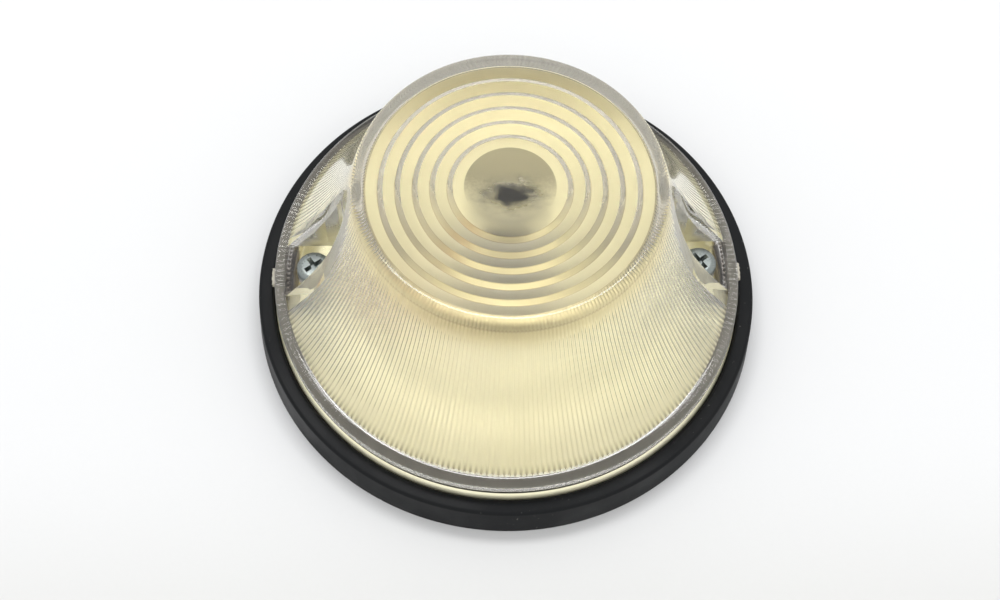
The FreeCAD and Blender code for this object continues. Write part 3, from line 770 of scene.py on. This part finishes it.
EDGE_WIDTH = 0.14 * MM
EDGE_STRENGTH = (0.25, 0.8)
RISER_EDGE = 0.05 * MM
DISC_RANGE = ((CEILING - 3) * MM, (CEILING - 2) * MM)
TOP_TINT = (0.93, 0.885, 0.77, 1)
FOOT_SHADE = ((SKIRT_CEILING + 3.0) * MM, SKIRT_CEILING * MM)
FOOT_SHADE_TINT = (0.2, 0.17, 0.13, 1)
WELL_DIRT_AND_SHADE_START = (47.4 * MM, 47.9 * MM)
WELL_DIRT_AND_SHADE_END = (51.0 * MM, 50.7 * MM)
WELL_DIRT_AND_SHADE_SIDE = (WELL_HALF_WIDTH * MM, (WELL_HALF_WIDTH - 0.4) * MM)
WELL_DIRT_AND_SHADE_RISE = ((SHOULDER_Z + 0.4) * MM, (SHOULDER_Z + 0.1) * MM)
WELL_DIRT_AND_SHADE_TINT = (0.18, 0.15, 0.125, 1)
BROKEN_DARK = (0.26, 0.24, 0.19, 1)
BROKEN_PALE = (0.7, 0.66, 0.55, 1)


def acrylic(name):
    material, shader, place = new_finish(name)
    shader.inputs["Transmission Weight"].default_value = 1
    shader.inputs["IOR"].default_value = ACRYLIC_IOR
    return material, shader, place


def flute_wave(material, place):
    """0 in the grooves between the flutes and 1 on their crests."""
    parts = add(material, "SeparateXYZ", {"Vector": place}).outputs
    turn = math_node(material, "ARCTAN2", parts["Y"], parts["X"])
    wave = math_node(material, "COSINE", math_node(material, "MULTIPLY", turn, FLUTES), 0)
    return remap(material, wave, 1, -1)


def well_dirt_and_shade(material, place):
    """Streaky dirt with painted shade on the floor of the screw wells, outside the screws."""
    parts = add(material, "SeparateXYZ", {"Vector": place}).outputs
    out = math_node(material, "ABSOLUTE", parts["X"], 0)
    across = math_node(material, "ABSOLUTE", parts["Y"], 0)
    share = remap(material, out, *WELL_DIRT_AND_SHADE_START)
    limits = [
        remap(material, out, *WELL_DIRT_AND_SHADE_END),
        remap(material, across, *WELL_DIRT_AND_SHADE_SIDE),
        remap(material, parts["Z"], *WELL_DIRT_AND_SHADE_RISE),
        remap(material, noise(material, place, 900, 3, stretch=(1, 0.1, 1)), 0.3, 0.6, 0.45, 1.0),
    ]
    for limit in limits:
        share = math_node(material, "MULTIPLY", share, limit)
    return share


def broken_finish():
    material, shader, place = new_finish("broken_acrylic")
    chips = noise(material, place, 1600, 5)
    link(material, blend_colour(material, chips, BROKEN_DARK, BROKEN_PALE), shader.inputs["Base Color"])
    link(material, remap(material, chips, 0.3, 0.7, 0.4, 0.7), shader.inputs["Roughness"])
    return material


def polished_finish():
    material, shader, place = acrylic("polished_acrylic")
    cloud = noise(material, place, 80, 3)
    scratch = noise(material, place, 160, 5, stretch=(1, 9, 3))
    link(material, remap(material, scratch, 0.35, 0.75, 0.01, 0.06), shader.inputs["Roughness"])
    link(material, bump(material, cloud, 0.08, 0.1), shader.inputs["Normal"])
    height = add(material, "SeparateXYZ", {"Vector": place}).outputs["Z"]
    tint = blend_colour(material, remap(material, height, *RIM_RANGE), SHELL_TINT, TOP_TINT)
    # Dirt and painted shade darken the floors of the screw wells.
    dirt_and_shade = well_dirt_and_shade(material, place)
    link(material, blend_colour(material, dirt_and_shade, tint, WELL_DIRT_AND_SHADE_TINT), shader.inputs["Base Color"])
    return material


def ring_tint(material, place):
    """Painted shade on the lands at the back and on the risers at the front, and a darker line along each
    edge.
    """
    out = math_node(material, "SUBTRACT", from_axis(material, place), RING_FIRST_R * MM)
    step = math_node(material, "MODULO", out, RING_PITCH * MM)
    to_top = math_node(material, "ABSOLUTE", step, 0)
    to_foot = math_node(material, "ABSOLUTE", math_node(material, "SUBTRACT", step, RISER_WIDTH * MM), 0)
    half_riser = RISER_WIDTH / 2 * MM
    from_middle = math_node(material, "SUBTRACT", step, half_riser)
    from_middle = math_node(material, "ABSOLUTE", from_middle, 0)
    riser = remap(material, from_middle, half_riser + RISER_EDGE, half_riser - RISER_EDGE)
    along = add(material, "SeparateXYZ", {"Vector": place}).outputs["Y"]
    # Painted shade that swaps between lands and risers from the back of the disc to its front.
    front = remap(material, along, *RING_SHADE_FADE)
    at_back = blend_colour(material, riser, RING_PAINTED_SHADE, CLEAR_TINT)
    at_front = blend_colour(material, riser, CLEAR_TINT, RING_PAINTED_SHADE)
    tint = blend_colour(material, front, at_back, at_front)
    # Painted shade along the ring edges, stronger at the front.
    edge = remap(material, math_node(material, "MINIMUM", to_top, to_foot), EDGE_WIDTH, EDGE_WIDTH / 3)
    edge = math_node(material, "MULTIPLY", edge, remap(material, front, 0, 1, *EDGE_STRENGTH))
    return blend_colour(material, edge, tint, RING_EDGE_SHADE)


def bullseye_tint(material, place, clear):
    """Painted shade that deepens towards the back of the bull's eye, and the painted dark spot in its
    middle.
    """
    streaks = noise(material, place, 420, 8, stretch=(0.8, 1.3, 1))
    grain = noise(material, place, 1800, 3)
    back = add(material, "SeparateXYZ", {"Vector": place}).outputs["Y"]
    back = math_node(material, "ADD", back, math_node(material, "MULTIPLY", grain, EYE_RAGGED))
    # Painted shade: the bull's eye darkens towards its back.
    back_shade = blend_colour(material, remap(material, back, *EYE_SHADE), CLEAR_TINT, EYE_PAINTED_SHADE)
    eye = remap(material, from_axis(material, place), BULLSEYE_R * MM + EYE_EDGE, BULLSEYE_R * MM)
    tint = blend_colour(material, eye, clear, back_shade)
    # Painted dark spot standing in for the bulb's dark top seen through the bull's eye.
    spot = vector_node(material, "SUBTRACT", place, PAINTED_SPOT_PLACE)
    away = vector_node(material, "LENGTH", vector_node(material, "MULTIPLY", spot, PAINTED_SPOT_STRETCH))
    away = math_node(material, "ADD", away, math_node(material, "MULTIPLY", streaks, PAINTED_SPOT_RAGGED))
    painted_spot = remap(material, away, PAINTED_SPOT_REACH[1], PAINTED_SPOT_REACH[0])
    return blend_colour(material, painted_spot, tint, PAINTED_SPOT_TINT), eye, painted_spot


def frosted_finish():
    material, shader, place = acrylic("frosted_acrylic")
    height = add(material, "SeparateXYZ", {"Vector": place}).outputs["Z"]
    on_disc = remap(material, height, *DISC_RANGE)
    disc_tint, eye, painted_spot = bullseye_tint(material, place, ring_tint(material, place))
    # Painted shade darkens the feet of the flutes, most on their crests.
    foot = remap(material, height, *FOOT_SHADE)
    foot = math_node(material, "MULTIPLY", foot, flute_wave(material, place))
    wall_tint = blend_colour(material, remap(material, height, *RIM_RANGE), WALL_TINT, RIM_TINT)
    wall_tint = blend_colour(material, foot, wall_tint, FOOT_SHADE_TINT)
    link(material, blend_colour(material, on_disc, wall_tint, disc_tint), shader.inputs["Base Color"])
    wall = remap(material, on_disc, 0, 1, WALL_FROST, DISC_FROST)
    on_eye = math_node(material, "MULTIPLY", on_disc, eye)
    frost = math_node(material, "ADD", wall, math_node(material, "MULTIPLY", on_eye, EYE_FROST - DISC_FROST))
    frost = math_node(material, "MULTIPLY", frost, remap(material, painted_spot, 0, 1, 1.0, PAINTED_SPOT_GLOSS))
    link(material, frost, shader.inputs["Roughness"])
    grain = noise(material, place, 1500, 4)
    link(material, bump(material, grain, 0.2, 0.03), shader.inputs["Normal"])
    return material


# %% Lens
LENS_SHARP_EDGE = math.radians(24)


def both_on_flutes(edge):
    return all(on_fluted_wall(vert.co, FLUTE_DEPTH + NEAR) for vert in edge.verts)


def inside_the_lens(spot):
    """Whether a point is on the optical side of the wall, and not in a screw well."""
    x, y, z = spot / MM
    below_top = SKIRT_CEILING - FLUTE_DEPTH - NEAR < z < MIDWALL_TOP
    from_well = math.hypot(max(WELL_CENTRE - abs(x), 0), y)
    in_well = from_well < WELL_HALF_WIDTH + NEAR
    return below_top and not in_well and math.hypot(x, y) < cone_radius(z) - MIDWALL


POLISHED, FROSTED, BROKEN = range(3)
for face in lens.faces:
    spot = face.calc_center_median()
    face.material_index = FROSTED if inside_the_lens(spot) else POLISHED
    if spot.xy.length > (LENS_R + NEAR) * MM:
        face.material_index = BROKEN
lens_piece = finish_piece("lens_moulding", lens, polished_finish(), "lens",
                          sharp=LENS_SHARP_EDGE, smooth_edge=both_on_flutes)
lens_piece.data.materials.append(frosted_finish())
lens_piece.data.materials.append(broken_finish())

# %% [markdown]
# ## Lens screws
# Two zinc-plated pan-head screws. The head is turned, the cross recess is cut with two tapered bars, and the
# thread is a small ridge that climbs as it is spun, joined to the shank.

# %% Zinc
ZINC_DARK = (0.18, 0.21, 0.21, 1)
ZINC_PALE = (0.32, 0.34, 0.32, 1)


def zinc_finish():
    material, shader, place = new_finish("zinc")
    cloud = noise(material, place, 350)
    fine = noise(material, place, 2200, 6)
    link(material, blend_colour(material, cloud, ZINC_DARK, ZINC_PALE), shader.inputs["Base Color"])
    link(material, remap(material, fine, 0.3, 0.7, 0.25, 0.45), shader.inputs["Roughness"])
    link(material, bump(material, fine, 0.2, 0.03), shader.inputs["Normal"])
    shader.inputs["Metallic"].default_value = 0.9
    return material


# %% Screws
screw_low, screw_high = (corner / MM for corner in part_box("lens_screws"))
HEAD_R = screw_high.y
HEAD_TOP = screw_high.z
HEAD_ROUND = 1.5
HEAD_EDGE = 0.2
SCREW_STEPS = 96
SHANK_R = 1.9
TIP_ROUND = 0.3
THREAD_PITCH = 0.8
THREAD_DEPTH = 0.35
THREAD_FOOT = THREAD_PITCH * 0.9
THREAD_SUNK = 0.1
THREAD_START = 0.4
THREAD_TURNS = 9
ROOT_R = SHANK_R - THREAD_DEPTH
RECESS_SPAN = 4.6
RECESS_WIDTH = 1.1
RECESS_DEPTH = 1.6
RECESS_FOOT = 0.45
RECESS_TAPER = 0.8
RECESS_TURNS = (0.6, 0.6 + math.pi / 2)


def recess_bar(turn):
    """Bar of the cross recess, narrower at its foot."""
    bar = bmesh.new()
    bmesh.ops.create_cube(bar, size=1)
    foot = [vert for vert in bar.verts if vert.co.z < 0]
    top = [vert for vert in bar.verts if vert.co.z > 0]
    bmesh.ops.scale(bar, verts=foot, vec=(RECESS_FOOT, RECESS_TAPER, 1))
    bmesh.ops.scale(bar, verts=top, vec=(2 - RECESS_FOOT, 2 - RECESS_TAPER, 1))
    size = (RECESS_SPAN * MM, RECESS_WIDTH * MM, 2 * RECESS_DEPTH * MM)
    bmesh.ops.scale(bar, verts=bar.verts, vec=size)
    bmesh.ops.rotate(bar, verts=bar.verts, cent=(0, 0, 0), matrix=Matrix.Rotation(turn, 3, "Z"))
    bmesh.ops.translate(bar, verts=bar.verts, vec=(0, 0, HEAD_TOP * MM))
    return bar


def thread_ridge(low, turns, steps=24):
    """Three-cornered ridge that climbs round the shank."""
    ridge = bmesh.new()
    sunk_r = ROOT_R - THREAD_SUNK
    corners = [(sunk_r, low), (sunk_r, low + THREAD_FOOT), (SHANK_R, low + THREAD_PITCH / 2)]
    verts = [ridge.verts.new((r * MM, 0, z * MM)) for r, z in corners]
    face = ridge.faces.new(verts)
    bmesh.ops.spin(ridge, geom=[face], cent=(0, 0, 0), axis=(0, 0, 1), angle=2 * math.pi * turns,
                   dvec=(0, 0, THREAD_PITCH * MM / steps), steps=steps * turns, use_merge=False)
    bmesh.ops.holes_fill(ridge, edges=ridge.edges, sides=3)
    bmesh.ops.recalc_face_normals(ridge, faces=ridge.faces)
    return ridge


screws = bmesh.new()
for turn in BOTH_SIDES:
    screw = turned([
        (0, screw_low.z), (ROOT_R, screw_low.z, TIP_ROUND), (ROOT_R, SHOULDER_Z),
        (HEAD_R, SHOULDER_Z, HEAD_EDGE), (HEAD_R, HEAD_TOP, HEAD_ROUND), (0, HEAD_TOP),
    ], steps=SCREW_STEPS, closed=False)
    screw = combine(screw, thread_ridge(screw_low.z + THREAD_START, THREAD_TURNS), "UNION")
    for bar_turn in RECESS_TURNS:
        screw = combine(screw, recess_bar(bar_turn), "DIFFERENCE")
    bmesh.ops.translate(screw, verts=screw.verts, vec=(SCREW_X * MM, 0, 0))
    bmesh.ops.rotate(screw, verts=screw.verts, cent=(0, 0, 0), matrix=Matrix.Rotation(turn, 3, "Z"))
    mesh = bpy.data.meshes.new("screw")
    screw.to_mesh(mesh)
    screw.free()
    screws.from_mesh(mesh)
    bpy.data.meshes.remove(mesh)
finish_piece("screws", screws, zinc_finish(), "lens_screws")

# %% [markdown]
# ## Bulb glass and filament
# The bulb is blown glass, thin all round and slightly smoked inside its top from many hours of use. The
# filament is a coil: a small circle spun round the coil's axis while it moves along it.

# %% Bulb glass finish
SMOKED = (33 * MM, 43 * MM)
CLEAR_GLASS = (0.98, 0.98, 0.96, 1)
SMOKED_GLASS = (0.88, 0.86, 0.82, 1)
GLASS_IOR = 1.5


def glass_finish():
    material, shader, place = new_finish("bulb_glass")
    streaks = noise(material, place, 420, 6, stretch=(0.6, 1.6, 1))
    height = add(material, "SeparateXYZ", {"Vector": place}).outputs["Z"]
    share = math_node(material, "MULTIPLY", remap(material, height, *SMOKED), streaks)
    link(material, blend_colour(material, share, CLEAR_GLASS, SMOKED_GLASS), shader.inputs["Base Color"])
    link(material, remap(material, streaks, 0.3, 0.7, 0.0, 0.03), shader.inputs["Roughness"])
    shader.inputs["Transmission Weight"].default_value = 1
    shader.inputs["IOR"].default_value = GLASS_IOR
    return material


# %% Bulb glass
glass_low, glass_high = (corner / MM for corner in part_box("bulb_glass"))
GLOBE_R = glass_high.y
GLASS_WALL = 0.6
GLASS_STEPS = 128
GLASS_SEGMENTS = 14
NECK_R = 6.9
NECK_RISE = 1.3
NECK_ROUND = 1.2
NECK_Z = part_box("bulb_cap")[1].z / MM + NECK_RISE
BELLY_RISE = 2.5
BELLY_Z = NECK_Z + BELLY_RISE
GLOBE_ROUND = 4.5
POLE_GAP = 0.001
INSIDE_R = GLOBE_R - GLASS_WALL
INSIDE_TOP = glass_high.z - GLASS_WALL

bm = bmesh.new()
draw_section(bm, [
    (0, INSIDE_TOP),
    (INSIDE_R, INSIDE_TOP, INSIDE_R - POLE_GAP),
    (INSIDE_R, BELLY_Z, GLOBE_ROUND),
    (NECK_R - GLASS_WALL, NECK_Z, NECK_ROUND),
    (NECK_R - GLASS_WALL, glass_low.z),
], closed=False, segments=GLASS_SEGMENTS)
spin_section(bm, GLASS_STEPS)
if sum(face.normal.z * face.calc_center_median().z for face in bm.faces) < 0:
    bmesh.ops.reverse_faces(bm, faces=bm.faces)
bmesh.ops.solidify(bm, geom=bm.faces[:], thickness=-GLASS_WALL * MM)
bmesh.ops.recalc_face_normals(bm, faces=bm.faces)
finish_piece("bulb_globe", bm, glass_finish(), "bulb_glass")

# %% Filament
wire_low, wire_high = (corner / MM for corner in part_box("bulb_filament"))
COIL_R = (wire_high.z - wire_low.z) / 2
WIRE_R = 0.06
WIRE_SIDES = 8
COIL_TURNS = 22
COIL_STEPS = 20
TUNGSTEN_DARK = (0.12, 0.12, 0.125, 1)
TUNGSTEN_PALE = (0.3, 0.29, 0.28, 1)


def tungsten_finish():
    material, shader, place = new_finish("tungsten")
    fine = noise(material, place, 4000, 3)
    link(material, blend_colour(material, fine, TUNGSTEN_DARK, TUNGSTEN_PALE), shader.inputs["Base Color"])
    link(material, remap(material, fine, 0.3, 0.7, 0.4, 0.6), shader.inputs["Roughness"])
    shader.inputs["Metallic"].default_value = 1
    return material


bm = bmesh.new()
middle = (wire_low + wire_high) / 2 * MM
start = Vector((wire_low.x * MM + WIRE_R * MM, middle.y, middle.z))
travel = (wire_high.x - wire_low.x - 2 * WIRE_R) * MM
wire_end = Matrix.Translation(start + Vector((0, 0, (COIL_R - WIRE_R) * MM)))
wire_end = wire_end @ Matrix.Rotation(math.pi / 2, 4, "X")
bmesh.ops.create_circle(bm, cap_ends=True, segments=WIRE_SIDES, radius=WIRE_R * MM, matrix=wire_end)
coil_steps = COIL_TURNS * COIL_STEPS
bmesh.ops.spin(bm, geom=bm.faces[:], cent=start, axis=(1, 0, 0), dvec=(travel / coil_steps, 0, 0),
               angle=2 * math.pi * COIL_TURNS, steps=coil_steps, use_merge=False)
bmesh.ops.recalc_face_normals(bm, faces=bm.faces)
finish_piece("filament_coil", bm, tungsten_finish(), "bulb_filament")

# %% [markdown]
# ## Finishes of the other pieces
# The holder, rivets, contacts, posts and the bulb's cap are right as they were packed. They get finishes
# only: steel, brass and a washed brass for the bulb's cap, with soft clouds and fine grain, brown laminate,
# black bead and grey solder.

# %% Metals and laminate
ROUGH_SPREAD = 0.08


def cloudy_finish(name, first, second, rough, metallic=1.0):
    material, shader, place = new_finish(name)
    cloud = noise(material, place, 240)
    fine = noise(material, place, 1800, 5)
    link(material, blend_colour(material, cloud, first, second), shader.inputs["Base Color"])
    rough = remap(material, fine, 0.3, 0.7, rough - ROUGH_SPREAD, rough + ROUGH_SPREAD)
    link(material, rough, shader.inputs["Roughness"])
    link(material, bump(material, fine, 0.15, 0.03), shader.inputs["Normal"])
    shader.inputs["Metallic"].default_value = metallic
    return material


plain_steel = cloudy_finish("plated_steel", (0.62, 0.62, 0.6, 1), (0.74, 0.72, 0.66, 1), 0.35)
holder_steel = cloudy_finish("holder_steel", (0.93, 0.9, 0.72, 1), (0.97, 0.93, 0.7, 1), 0.45,
                             metallic=PLATING_METALLIC)
brass = cloudy_finish("brass", (0.72, 0.52, 0.2, 1), (0.82, 0.63, 0.3, 1), 0.32)
laminate = cloudy_finish("laminate", (0.23, 0.11, 0.045, 1), (0.3, 0.15, 0.06, 1), 0.5, metallic=0.0)
bead = cloudy_finish("black_bead", (0.012, 0.012, 0.014, 1), (0.03, 0.028, 0.03, 1), 0.25, metallic=0.0)
cap_metal = cloudy_finish("washed_brass", (0.88, 0.83, 0.66, 1), (0.94, 0.89, 0.72, 1), 0.35)
solder = cloudy_finish("solder", (0.5, 0.5, 0.5, 1), (0.66, 0.65, 0.62, 1), 0.4)
stem_glass = glass_finish()

FINISHES = {
    "screw_posts": plain_steel, "bulb_holder": holder_steel, "holder_rivets": plain_steel,
    "insulator_plate": laminate, "contact_spring": brass, "contact_rivet": brass,
    "feed_terminal": brass, "earth_terminal": brass, "earth_rivet": plain_steel,
    "bulb_cap": cap_metal, "bulb_pins": cap_metal, "bulb_insulator": bead, "bulb_contact": solder,
    "bulb_stem": stem_glass, "bulb_leads": plain_steel,
}
for node, material in FINISHES.items():
    mesh = nodes[node].data
    mesh.materials.clear()
    mesh.materials.append(material)
print("finishes on", len(FINISHES), "packed pieces")
